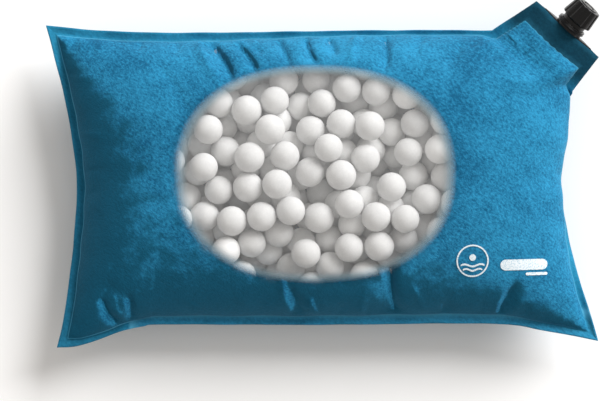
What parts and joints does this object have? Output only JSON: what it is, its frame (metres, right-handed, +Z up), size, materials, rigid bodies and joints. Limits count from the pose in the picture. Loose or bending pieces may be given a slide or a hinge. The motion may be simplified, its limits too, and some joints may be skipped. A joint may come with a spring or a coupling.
{
  "type": "camp pillow",
  "caption": "Inflatable camp pillow with welded suede panels, a foam-ball fill seen through an oval cutaway, and a screw valve in a corner tab.",
  "frame": {"origin": "on the resting face, under the middle of the pillow's body", "axes": "+X along the pillow towards the valve's end, +Y towards the edge with the valve tab, +Z up out of the cutaway"},
  "size_m": [0.5004, 0.3157, 0.1014],
  "materials": {
    "suede": "matte",
    "film": "satin",
    "foam": "matte",
    "valve_plastic": "satin",
    "knob_plastic": "satin",
    "seal_rubber": "matte"
  },
  "bodies": {
    "pillow": {"top_fabric": "suede", "bottom_fabric": "suede", "top_film": "film", "bottom_film": "film", "ball_fill": "foam", "fill_ball_01": "foam", "fill_ball_02": "foam", "fill_ball_03": "foam", "fill_ball_04": "foam", "fill_ball_05": "foam", "fill_ball_06": "foam", "fill_ball_07": "foam", "fill_ball_08": "foam", "fill_ball_09": "foam", "fill_ball_10": "foam", "fill_ball_11": "foam", "fill_ball_12": "foam", "fill_ball_13": "foam", "fill_ball_14": "foam", "fill_ball_15": "foam", "fill_ball_16": "foam", "fill_ball_17": "foam", "fill_ball_18": "foam", "fill_ball_19": "foam", "fill_ball_20": "foam", "fill_ball_21": "foam", "fill_ball_22": "foam", "fill_ball_23": "foam", "fill_ball_24": "foam", "fill_ball_25": "foam", "fill_ball_26": "foam", "fill_ball_27": "foam", "fill_ball_28": "foam", "fill_ball_29": "foam", "fill_ball_30": "foam", "fill_ball_31": "foam", "fill_ball_32": "foam", "fill_ball_33": "foam", "fill_ball_34": "foam", "fill_ball_35": "foam", "fill_ball_36": "foam", "fill_ball_37": "foam", "fill_ball_38": "foam", "fill_ball_39": "foam", "fill_ball_40": "foam", "fill_ball_41": "foam", "fill_ball_42": "foam", "fill_ball_43": "foam", "fill_ball_44": "foam", "fill_ball_45": "foam", "valve_body": "valve_plastic", "valve_collar": "valve_plastic", "intake_grille": "valve_plastic", "valve_pintle": "valve_plastic", "pintle_seal": "seal_rubber"},
    "gasket": {"knob_gasket": "seal_rubber"},
    "knob": {"knob_shell": "knob_plastic", "mouth_ring": "knob_plastic"}
  },
  "joints": [
    {"name": "knob_lift", "type": "slide", "parent": "pillow", "child": "gasket", "axis": [0.6369, 0.7063, 0.309], "range_m": [0, 0.004]},
    {"name": "knob_turn", "type": "hinge", "parent": "gasket", "child": "knob", "pos_m": [0.221, 0.13425, 0.05862], "axis": [0.6369, 0.7063, 0.309], "range_deg": [0, 360]}
  ],
  "couplings": [
    {"joint": "knob_lift", "follows": "knob_turn", "m_per_rad": 0.00063662}
  ]
}
